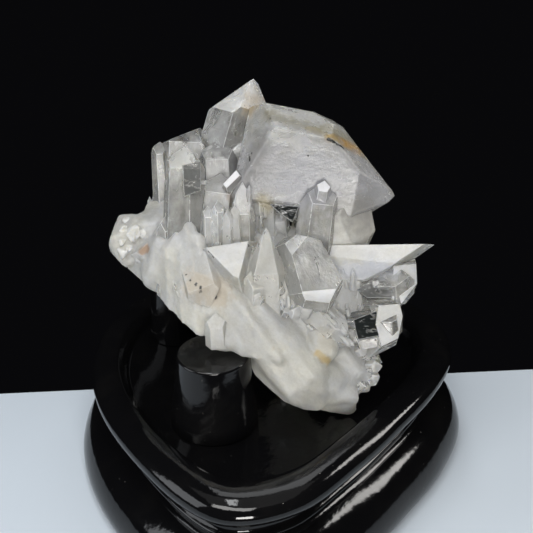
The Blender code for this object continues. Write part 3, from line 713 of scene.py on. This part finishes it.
def growLittleCrystals(cluster, s, material):
    shape = littleCrystal()
    host = bpy.data.objects.new("little_crystals", cluster.data)
    bpy.context.scene.collection.objects.link(host)
    tree = overgrowthTree()
    grow = host.modifiers.new("overgrowth", "NODES")
    grow.node_group = tree
    sizes = {"Crystal": shape, "Finish": material, "Spacing": s["spacing"] * mm,
             "Density": s["perSquareMetre"], "Smallest": s["smallest"] * mm,
             "Largest": s["largest"] * mm, "Seed": s["seed"]}
    for socket in tree.interface.items_tree:
        if socket.in_out == "INPUT" and socket.name in sizes:
            grow[socket.identifier] = sizes[socket.name]
    mesh = bpy.data.meshes.new_from_object(
        host.evaluated_get(bpy.context.evaluated_depsgraph_get()))
    host.modifiers.clear()
    host.data = mesh
    bpy.data.objects.remove(shape, do_unlink=True)
    return host


# The milky foot is one frosted mass: its crystals are melted together and their edges rounded.
meltSettings = {
    "names": ("foot", "shelf_", "base_", "rib_", "seat_front", "curtain_", "left_lobe",
              "left_slope", "left_knob", "needle_5", "needle_6", "needle_7", "needle_8",
              "needle_9", "needle_10", "beige_column"),
    "cell": 0.6, "rounds": 4, "milk": 0.78, "axis": (0.6, -0.78, 0.1), "growth": 0.0,
    # height and length of the soft swells and of the fine grain
    "swell": (0.16, 3.6), "grain": (0.07, 1.1),
}


def meltTogether(pieces, s):
    joined = bmesh.new()
    for bm in pieces:
        mesh = bpy.data.meshes.new("crystal")
        bm.to_mesh(mesh)
        bm.free()
        joined.from_mesh(mesh)
        bpy.data.meshes.remove(mesh)
    host = meshPiece("melted", joined)
    melt = host.modifiers.new("melt", "REMESH")
    melt.mode = "VOXEL"
    melt.voxel_size = s["cell"] * mm
    seen = host.evaluated_get(bpy.context.evaluated_depsgraph_get())
    mesh = bpy.data.meshes.new_from_object(seen)
    bpy.data.objects.remove(host, do_unlink=True)
    bm = bmesh.new()
    bm.from_mesh(mesh)
    bpy.data.meshes.remove(mesh)
    for _ in range(s["rounds"]):
        bmesh.ops.smooth_vert(bm, verts=bm.verts[:], factor=0.5, use_axis_x=True,
                              use_axis_y=True, use_axis_z=True)
    bm.normal_update()
    axis = leanWay(*s["axis"])
    moves = []
    for vert in bm.verts:
        down = vert.co - axis * vert.co.dot(axis) * 0.8
        swell, grain = s["swell"], s["grain"]
        wave = swell[0] * noiseField.fractal(down / (swell[1] * mm), 0.8, 2.1, 3)
        wave += grain[0] * noiseField.fractal(vert.co / (grain[1] * mm), 0.6, 2.1, 3)
        moves.append(vert.normal * wave * mm)
    for vert, move in zip(bm.verts, moves):
        vert.co += move
    bmesh.ops.triangulate(bm, faces=bm.faces[:])
    bm.faces.layers.float_vector.new("axis")
    for name in ("milk", "stripe", "facet", "tone"):
        bm.faces.layers.float.new(name)
    for face in bm.faces:
        tagFace(bm, face, axis, s["milk"], 0.2)
    return bm


def allCrystals():
    # the crisp crystals first, then the melted foot
    soft = []
    for name, bm in clusterCrystals():
        if name.startswith(meltSettings["names"]):
            soft.append(bm)
        else:
            yield name, bm, next((v for k, v in overgrowthSettings["share"].items()
                                  if name.startswith(k)), 0.0)
    yield "melted", meltTogether(soft, meltSettings), meltSettings["growth"]


def growCluster(material):
    loose = bpy.data.collections.new("loose crystals")
    bpy.context.scene.collection.children.link(loose)
    first = None
    for name, bm, share in allCrystals():
        bmesh.ops.recalc_face_normals(bm, faces=bm.faces[:])
        growth = bm.faces.layers.float.new("growth")
        for face in bm.faces:
            face[growth] = share
        piece = meshPiece(name, bm)
        if first is None:
            first = piece
            continue
        bpy.context.scene.collection.objects.unlink(piece)
        loose.objects.link(piece)
    join = first.modifiers.new("grown together", "BOOLEAN")
    join.operation = "UNION"
    join.solver = "EXACT"
    join.operand_type = "COLLECTION"
    join.collection = loose
    weld = first.modifiers.new("weld", "WELD")
    weld.merge_threshold = 0.00001
    seen = first.evaluated_get(bpy.context.evaluated_depsgraph_get())
    mesh = bpy.data.meshes.new_from_object(seen)
    for piece in [first, *loose.objects]:
        bpy.data.objects.remove(piece, do_unlink=True)
    bpy.data.collections.remove(loose)
    mesh.name = "quartz"
    mesh.materials.clear()
    mesh.materials.append(material)
    mesh.shade_smooth()
    mesh.set_sharp_from_angle(angle=math.radians(clusterSettings["softTurn"]))
    piece = bpy.data.objects.new("quartz", mesh)
    bpy.context.scene.collection.objects.link(piece)
    return piece


quartzSettings = {
    "coolMilk": (0.72, 0.73, 0.78), "warmMilk": (0.81, 0.78, 0.66), "clear": (0.97, 0.98, 0.97),
    "milkDepth": 1.8, "tint": (0.97, 0.95, 0.88), "tintStrength": 18.0,
    # frost is also the colour of the painted highlights; dark is the colour of the painted shade and of
    # the real black specks
    "frostAndHighlightColour": (0.82, 0.83, 0.86), "crack": (0.85, 0.86, 0.86), "dark": (0.012, 0.014, 0.014),
    "shade": (0.55, 0.54, 0.50),
    # from, to, reach, strength and colour
    # real iron and beige stains, and some patches of painted shade
    "stainsAndShade": [
        # the clear rim along the shoulder's top: its own beige tint, darkened further as painted shade
        ((-3.0, 18.0, 104.5), (10.9, 13.6, 102.5), 3.4, 0.85, (0.24, 0.22, 0.15)),
        ((10.9, 13.6, 102.5), (23.0, 15.8, 95.0), 3.0, 0.7, (0.28, 0.25, 0.14)),
        ((8.6, 13.8, 101.3), (14.2, 11.4, 99.9), 1.7, 0.6, (0.34, 0.28, 0.13)),
        ((14.2, 11.4, 99.9), (18.2, 12.9, 97.3), 2.0, 0.85, (0.52, 0.34, 0.07)),
        ((18.2, 12.9, 97.3), (23.0, 15.3, 93.7), 2.3, 0.9, (0.66, 0.36, 0.04)),
        # painted shade: smoky grey where the clear crystals at the upper left look dark
        ((-15.5, 22.0, 97.0), (-12.0, 21.0, 89.0), 5.5, 0.6, (0.12, 0.12, 0.12)),
        ((-15.4, 16.0, 90.5), (-14.5, 15.0, 86.0), 4.5, 0.7, (0.20, 0.19, 0.16)),
        ((-12.7, 28.1, 99.0), (-11.0, 28.0, 96.5), 3.2, 0.7, (0.10, 0.105, 0.11)),
        ((14.0, -3.0, 68.4), (31.0, -4.6, 69.4), 3.2, 0.6, (0.50, 0.53, 0.62)),
        # the rim down the shoulder's right end: beige tint and painted shade
        ((23.5, 15.5, 93.2), (33.0, 11.5, 82.5), 2.2, 0.55, (0.38, 0.36, 0.20)),
        ((6.6, 7.9, 87.8), (8.0, 7.9, 86.8), 9.0, 0.5, (0.60, 0.62, 0.72)),
        # painted shade: a broad grey patch over the shoulder's front
        ((-4.0, 12.0, 90.0), (28.0, 9.0, 86.0), 15.0, 0.75, (0.42, 0.42, 0.45)),
        ((-5.0, 13.0, 98.0), (-5.0, 11.0, 91.0), 5.0, 0.5, (0.30, 0.29, 0.27)),
        ((20.0, 7.1, 80.0), (24.0, 7.1, 76.0), 9.0, 0.5, (0.38, 0.36, 0.32)),
        ((11.1, -15.5, 51.1), (14.5, -15.8, 47.6), 1.6, 0.8, (0.50, 0.34, 0.08)),
        ((12.9, -13.4, 55.0), (12.9, -14.4, 52.0), 3.4, 0.4, (0.46, 0.40, 0.26)),
        ((-1.3, -17.8, 55.1), (-0.3, -17.8, 54.0), 1.4, 0.6, (0.44, 0.30, 0.12)),
        ((-34.8, 3.6, 71.0), (-33.6, 3.4, 71.4), 2.0, 0.8, (0.40, 0.22, 0.10)),
        ((-3.1, 7.7, 83.9), (-2.0, 7.7, 82.0), 3.0, 0.6, (0.44, 0.36, 0.16)),
        ((-6.0, 25.2, 102.5), (-4.6, 30.7, 104.0), 4.2, 0.85, (0.44, 0.33, 0.17)),
        ((-11.2, 7.4, 84.6), (-11.0, 7.0, 82.6), 2.0, 0.7, (0.22, 0.15, 0.08)),
        ((-20.4, -9.0, 67.6), (-14.5, -9.6, 65.4), 5.6, 0.7, (0.50, 0.42, 0.30)),
        ((27.5, -9.2, 44.7), (28.5, -9.2, 44.7), 1.8, 0.5, (0.38, 0.38, 0.12)),
    ],
    "specks": [
        ((13.6, 10.7, 99.5), (15.7, 10.2, 98.6), 0.6), ((15.7, 10.2, 98.6), (17.8, 10.9, 96.9), 0.6),
        ((8.6, 9.8, 95.2), (8.6, 9.8, 95.1), 0.35),
        ((-1.2, 16.4, 103.0), (-1.2, 16.4, 102.8), 0.4), ((22.5, 16, 94.5), (22.4, 16, 94.5), 0.4),
        ((-22.8, -6.4, 69.1), (-22.6, -6.4, 69.1), 0.35), ((-21.7, -7.7, 68.3), (-21.5, -7.7, 68), 0.5),
        ((-20.1, -8.9, 67.8), (-20.1, -8.9, 67.2), 0.6), ((-18.9, -9.8, 67.4), (-18.9, -10, 66.2), 0.55),
        ((-15.1, -10.0, 64.6), (-15.1, -10, 64.2), 0.6),
        ((-7.4, 15.5, 95.0), (-6.4, 12.0, 92.8), 0.4), ((-6.0, 13.5, 94.6), (-5.6, 12, 93), 0.3),
    ],
}


def quartzMaterial(s):
    material, tree = newMaterial("quartz")
    place = millimetres(tree)
    milkTag = put(tree, "ShaderNodeAttribute", attribute_name="milk").outputs["Fac"]
    stripeTag = put(tree, "ShaderNodeAttribute", attribute_name="stripe").outputs["Fac"]
    facetTag = put(tree, "ShaderNodeAttribute", attribute_name="facet").outputs["Fac"]
    axisTag = put(tree, "ShaderNodeAttribute", attribute_name="axis").outputs["Vector"]
    shadeAndHighlightTag = put(tree, "ShaderNodeAttribute", attribute_name="tone").outputs["Fac"]
    # the tone attribute paints light on faces: above 0 a painted highlight in the frost colour, below 0
    # painted shade
    frostAndHighlight = sums(tree, "MAXIMUM", shadeAndHighlightTag, 0.0)
    dark = sums(tree, "MAXIMUM", sums(tree, "MULTIPLY", shadeAndHighlightTag, -1.0), 0.0)

    # streaks and veils run along each crystal
    along = put(tree, "ShaderNodeVectorMath", {0: place, 1: axisTag},
                operation="DOT_PRODUCT").outputs["Value"]
    back = put(tree, "ShaderNodeVectorMath", {0: axisTag, "Scale": sums(
        tree, "MULTIPLY", along, 0.6)}, operation="SCALE").outputs[0]
    drawn = put(tree, "ShaderNodeVectorMath", {0: place, 1: back}, operation="SUBTRACT").outputs[0]

    cloud = noise(tree, place, 0.09, 4, 0.55, 0.3)
    veil = noise(tree, drawn, 0.35, 4, 0.6, 0.4)
    milk = sums(tree, "ADD", milkTag, spread(tree, cloud, 0.3, 0.7, -0.14, 0.14))
    veil = sums(tree, "MULTIPLY", spread(tree, veil, 0.32, 0.68, -0.18, 0.2),
                spread(tree, milkTag, 0.3, 0.9, 1.0, 0.3))
    milk = sums(tree, "ADD", milk, veil, clamp=True)
    clearness = spread(tree, milk, 0.0, 1.0, 0.97, 0.5)

    warmth = noise(tree, place, 0.07, 4)
    milkColour = blendColours(tree, spread(tree, warmth, 0.42, 0.58), s["coolMilk"], s["warmMilk"])
    colour = blendColours(tree, clearness, milkColour, s["clear"])
    haze = noise(tree, drawn, 0.22, 5, 0.65, 0.5)
    grain = noise(tree, place, 1.3, 4, 0.75)
    haze = sums(tree, "MULTIPLY_ADD", grain, 0.6, haze)
    colour = blendColours(tree, spread(tree, haze, 0.65, 0.95, 0.0, 0.5), colour, s["shade"])
    ragged = noise(tree, place, 0.45, 4)
    # real stains and patches of painted shade, laid over the colour
    stainAndShadeCover = 0.0
    for start, end, reach, amount, stain in s["stainsAndShade"]:
        mark = sums(tree, "MULTIPLY", band(tree, place, ragged, start, end, reach), amount)
        colour = blendColours(tree, mark, colour, stain)
        stainAndShadeCover = sums(tree, "MAXIMUM", stainAndShadeCover, mark)
    specks = 0.0
    crumbs = noise(tree, place, 1.5, 4)
    for start, end, reach in s["specks"]:
        specks = sums(tree, "MAXIMUM", band(tree, place, crumbs, start, end, reach, 2.0), specks)
    shade = spread(tree, facetTag, 0.0, 1.0, 0.93, 1.0)
    colour = blendColours(tree, 1.0, colour, put(tree, "ShaderNodeCombineColor", {
        0: shade, 1: shade, 2: shade}).outputs[0], "MULTIPLY")

    # thin bright cracks inside the clear parts
    crack = noise(tree, place, 0.13, 3, 0.5, 1.6)
    crack = spread(tree, sums(tree, "ABSOLUTE", sums(tree, "SUBTRACT", crack, 0.5)), 0.014, 0.002)
    crack = sums(tree, "MULTIPLY", crack, spread(tree, cloud, 0.5, 0.6))
    thread = noise(tree, drawn, 0.9, 3, 0.6, 0.5)
    thread = spread(tree, thread, 0.64, 0.7)
    crack = sums(tree, "MAXIMUM", crack, thread)
    crack = sums(tree, "MULTIPLY", crack, spread(tree, milkTag, 0.5, 0.1, 0.0, 0.6), clamp=True)
    colour = blendColours(tree, crack, colour, s["crack"])

    # painted highlight: faces with a bright tone are whitened towards the frost colour
    colour = blendColours(tree, sums(tree, "MULTIPLY", frostAndHighlight, 0.8), colour, s["frostAndHighlightColour"])
    # painted shade: faces with a dark tone turn near black, broken by thin veins; the real black specks
    # take the same colour
    veins = noise(tree, drawn, 0.8, 3, 0.6, 1.0)
    dark = sums(tree, "MULTIPLY", dark, spread(tree, veins, 0.64, 0.58), clamp=True)
    dark = sums(tree, "MAXIMUM", dark, specks)
    colour = blendColours(tree, dark, colour, s["dark"])
    for part, weight in ((frostAndHighlight, 0.75), (crack, 0.5), (dark, 0.9), (stainAndShadeCover, 0.4)):
        clearness = sums(tree, "MULTIPLY", clearness, sums(
            tree, "SUBTRACT", 1.0, sums(tree, "MULTIPLY", part, weight)))

    bend = noise(tree, place, 0.25, 2)
    along = sums(tree, "MULTIPLY_ADD", bend, 0.5, along)
    line = put(tree, "ShaderNodeTexNoise", {"W": along, "Scale": 1.6, "Detail": 5.0,
                                            "Roughness": 0.75}, noise_dimensions="1D")
    stripes = sums(tree, "MULTIPLY", line.outputs["Fac"], stripeTag)
    dimple = noise(tree, place, 1.6, 4, 0.65)
    swell = noise(tree, drawn, 0.3, 3)
    height = sums(tree, "ADD", sums(tree, "MULTIPLY", stripes, 0.3),
                  sums(tree, "MULTIPLY", sums(tree, "MULTIPLY", dimple, milk), 0.85))
    height = sums(tree, "MULTIPLY_ADD", swell, sums(tree, "MULTIPLY", milk, 0.8), height)
    bump = put(tree, "ShaderNodeBump", {"Height": height, "Strength": 0.8, "Distance": 0.0003})

    roughness = sums(tree, "ADD", spread(tree, milk, 0.1, 0.9, 0.02, 0.42),
                     spread(tree, facetTag, 0.0, 1.0, 0.0, 0.06))
    roughness = sums(tree, "MULTIPLY_ADD", frostAndHighlight, 0.3, roughness)
    shader = put(tree, "ShaderNodeBsdfPrincipled", {
        "Base Color": colour, "Roughness": roughness, "IOR": 1.544,
        "Transmission Weight": clearness, "Normal": bump.outputs[0],
        "Subsurface Weight": sums(tree, "SUBTRACT", 1.0, sums(tree, "MAXIMUM", dark, stainAndShadeCover)),
        "Subsurface Scale": s["milkDepth"] * mm,
        "Subsurface Radius": (1.0, 0.95, 0.85),
    })
    depth = put(tree, "ShaderNodeVolumeAbsorption", {
        "Color": (*s["tint"], 1), "Density": s["tintStrength"]})
    put(tree, "ShaderNodeOutputMaterial", {"Surface": shader.outputs[0],
                                           "Volume": depth.outputs[0]})
    return material


quartz = growCluster(quartzMaterial(quartzSettings))
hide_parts("quartz_cluster")
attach(quartz, "root")
little = growLittleCrystals(quartz, overgrowthSettings, quartz.data.materials[0])
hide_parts("quartz_cluster")
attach(little, "root")
print("little crystals", len(little.data.polygons), "faces")
print("cluster grown,", len(quartz.data.polygons), "faces,",
      [a.name for a in quartz.data.attributes if not a.name.startswith(".")])


# ---- the stand and its pegs

standSettings = {
    "shift": (-2.15, 4.3), "outlineSteps": 14,
    "outline": [
        (-7.5, -59.0), (9.5, -53.5), (24.0, -38.5), (35.0, -24.5), (47.0, -7.0), (54.3, 11.5),
        (51.5, 30.0), (38.0, 43.5), (14.0, 49.5), (-12.0, 50.0), (-35.0, 46.0), (-47.0, 29.0),
        (-50.3, 8.0), (-46.5, -12.0), (-36.5, -32.0), (-21.0, -52.0),
    ],
    # height and distance outside the widest outline, from the foot to the rim
    "section": [
        (0.0, 1.5), (0.5, 2.5), (1.4, 3.4), (2.6, 4.1), (4.2, 4.4), (6.0, 4.3), (8.0, 3.8),
        (10.0, 2.9), (11.8, 1.7), (13.4, 0.3), (14.8, -1.3), (15.8, -2.9), (16.3, -4.0),
        (16.6, -4.6), (17.0, -4.4), (17.4, -4.0), (17.9, -4.0), (18.3, -4.5), (18.6, -5.2),
        (19.0, -5.0), (19.4, -4.6), (20.0, -4.6), (20.4, -5.0), (20.7, -5.8), (21.4, -6.2),
        (22.4, -6.2), (23.4, -5.9), (24.4, -5.2), (25.3, -4.0), (26.0, -2.4),
        (27.1, -1.1), (28.4, -0.2), (29.6, 0.0), (30.6, -0.2), (31.6, -0.9), (32.4, -1.8),
        (33.0, -3.1), (33.4, -4.6), (33.5, -6.0), (33.5, -7.4),
    ],
    # height and share of the outline, from the rim down into the dish
    "dish": [(33.3, 0.84), (33.0, 0.835), (32.4, 0.822), (31.6, 0.81), (30.4, 0.80),
             (29.6, 0.795), (28.9, 0.788), (28.5, 0.775)],
    "dishCentre": (-2.0, 8.0), "dishFloor": 28.5,
}
pegSettings = {
    "front_turned_peg": {"node": "front_peg", "centre": (-13.9, -18.0), "radius": 9.5,
                         "top": 49.97, "foot": 2.2},
    "back_turned_peg": {"node": "back_peg", "centre": (-27.0, 25.4), "radius": 7.0,
                        "top": 53.2, "foot": 1.2},
}
turning = {"edge": 0.6, "tenon": 4.0, "depth": 7.0, "gap": 0.3, "sides": 96}


def smoothLoop(points, steps):
    count, loop = len(points), []
    for index in range(count):
        a, b, c, d = (Vector(points[(index + k) % count]) for k in (-1, 0, 1, 2))
        for step in range(steps):
            t = step / steps
            loop.append(0.5 * (2 * b + (c - a) * t + (2 * a - 5 * b + 4 * c - d) * t * t
                               + (3 * b - a - 3 * c + d) * t ** 3))
    return loop


def carveStand(s, material):
    loop = smoothLoop(s["outline"], s["outlineSteps"])
    count = len(loop)
    outward = []
    for index in range(count):
        along = (loop[(index + 1) % count] - loop[index - 1]).normalized()
        outward.append(Vector((along.y, -along.x)))
    rings = [[(p.x + n.x * away, p.y + n.y * away, z) for p, n in zip(loop, outward)]
             for z, away in s["section"]]
    middle = Vector(s["dishCentre"])
    for z, share in s["dish"]:
        rings.append([(*(middle + (p - middle) * share), z) for p in loop])

    bm = bmesh.new()
    levels = [[bm.verts.new([c * mm for c in corner]) for corner in ring] for ring in rings]
    for low, high in zip(levels, levels[1:]):
        for index in range(count):
            after = (index + 1) % count
            bm.faces.new((low[index], low[after], high[after], high[index]))
    bm.faces.new(levels[-1])
    bm.faces.new(list(reversed(levels[0])))
    bmesh.ops.translate(bm, vec=Vector((*s["shift"], 0)) * mm, verts=bm.verts[:])
    stand = meshPiece("lacquered_stand", bm, [material])
    stand.data.shade_smooth()
    stand.data.set_sharp_from_angle(angle=math.radians(50))
    sockets = []
    for peg in pegSettings.values():
        bm = bmesh.new()
        wide = (turning["tenon"] + turning["gap"]) * mm
        bmesh.ops.create_cone(bm, cap_ends=True, segments=turning["sides"], radius1=wide,
                              radius2=wide, depth=(turning["depth"] + turning["gap"]) * 2 * mm)
        centre = Vector(peg["centre"]) + Vector(s["shift"])
        bmesh.ops.translate(bm, vec=Vector((*centre, s["dishFloor"])) * mm, verts=bm.verts[:])
        socket = meshPiece("socket", bm)
        hole = stand.modifiers.new("socket", "BOOLEAN")
        hole.operation = "DIFFERENCE"
        hole.solver = "EXACT"
        hole.object = socket
        sockets.append(socket)
    mesh = bpy.data.meshes.new_from_object(
        stand.evaluated_get(bpy.context.evaluated_depsgraph_get()))
    stand.modifiers.clear()
    stand.data = mesh
    for socket in sockets:
        bpy.data.objects.remove(socket, do_unlink=True)
    return stand


def turnPeg(name, peg, material):
    t, radius, top, foot = turning, peg["radius"], peg["top"], peg["foot"]
    floor = standSettings["dishFloor"] + t["gap"]
    outline = [(radius + foot * (1 - math.sin(a)), floor + foot * (1 - math.cos(a)))
               for a in (math.radians(9 * step) for step in range(10, -1, -1))]
    outline += [(radius - t["edge"] * (1 - math.cos(a)), top - t["edge"] * (1 - math.sin(a)))
                for a in (math.radians(11.25 * step) for step in range(9))]
    outline += [(radius * share, top) for share in (0.75, 0.5, 0.25)]
    bottom = standSettings["dishFloor"] - t["depth"]
    outline = [(t["tenon"], bottom), (t["tenon"], floor)] + outline
    bm = bmesh.new()
    rings = []
    for r, z in outline:
        rings.append([bm.verts.new((r * mm * math.cos(a), r * mm * math.sin(a), z * mm))
                      for a in (2 * math.pi * k / t["sides"] for k in range(t["sides"]))])
    for low, high in zip(rings, rings[1:]):
        for index in range(t["sides"]):
            after = (index + 1) % t["sides"]
            bm.faces.new((low[index], low[after], high[after], high[index]))
    bm.faces.new(rings[-1])
    bm.faces.new(list(reversed(rings[0])))
    centre = Vector(peg["centre"]) + Vector(standSettings["shift"])
    bmesh.ops.translate(bm, vec=Vector((*centre, 0)) * mm, verts=bm.verts[:])
    bmesh.ops.recalc_face_normals(bm, faces=bm.faces[:])
    piece = meshPiece(name, bm, [material])
    piece.data.shade_smooth()
    piece.data.set_sharp_from_angle(angle=math.radians(50))
    return piece


lacquerSettings = {
    "black": (0.003, 0.003, 0.0034), "worn": (0.006, 0.0057, 0.0054), "dust": (0.25, 0.24, 0.22),
    "gloss": {"stand": (0.05, 0.12), "pegs": (0.06, 0.16)},
}


def lacquerMaterial(name, s):
    smooth, dull = s["gloss"][name]
    material, tree = newMaterial("black lacquer " + name)
    place = millimetres(tree)
    peel = noise(tree, place, 0.5, 3, 0.5)
    fine = noise(tree, place, 3.0, 2)
    smear = noise(tree, place, 0.07, 4, 0.6, 0.5)
    dots = put(tree, "ShaderNodeTexVoronoi", {"Vector": place, "Scale": 0.55})
    size = sums(tree, "MULTIPLY", put(tree, "ShaderNodeSeparateColor", {
        0: dots.outputs["Color"]}).outputs[0], 0.11)
    dust = sums(tree, "LESS_THAN", dots.outputs["Distance"], sums(tree, "SUBTRACT", size, 0.05))
    colour = blendColours(tree, spread(tree, smear, 0.45, 0.8, 0, 0.6), s["black"], s["worn"])
    colour = blendColours(tree, dust, colour, s["dust"])
    roughness = sums(tree, "ADD", spread(tree, smear, 0.3, 0.7, smooth, dull),
                     sums(tree, "MULTIPLY", dust, 0.6))
    height = sums(tree, "MULTIPLY_ADD", fine, 0.12, peel)
    bump = put(tree, "ShaderNodeBump", {"Height": height, "Strength": 0.5, "Distance": 0.00008})
    shader = put(tree, "ShaderNodeBsdfPrincipled", {
        "Base Color": colour, "Roughness": roughness, "Normal": bump.outputs[0],
        "Specular IOR Level": 0.35,
    })
    put(tree, "ShaderNodeOutputMaterial", {"Surface": shader.outputs[0]})
    return material


stand = carveStand(standSettings, lacquerMaterial("stand", lacquerSettings))
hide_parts("carved_stand")
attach(stand, "root")
lacquer = lacquerMaterial("pegs", lacquerSettings)
for name, peg in pegSettings.items():
    piece = turnPeg(name, peg, lacquer)
    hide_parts(peg["node"])
    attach(piece, "root")
print("stand carved and pegs turned")
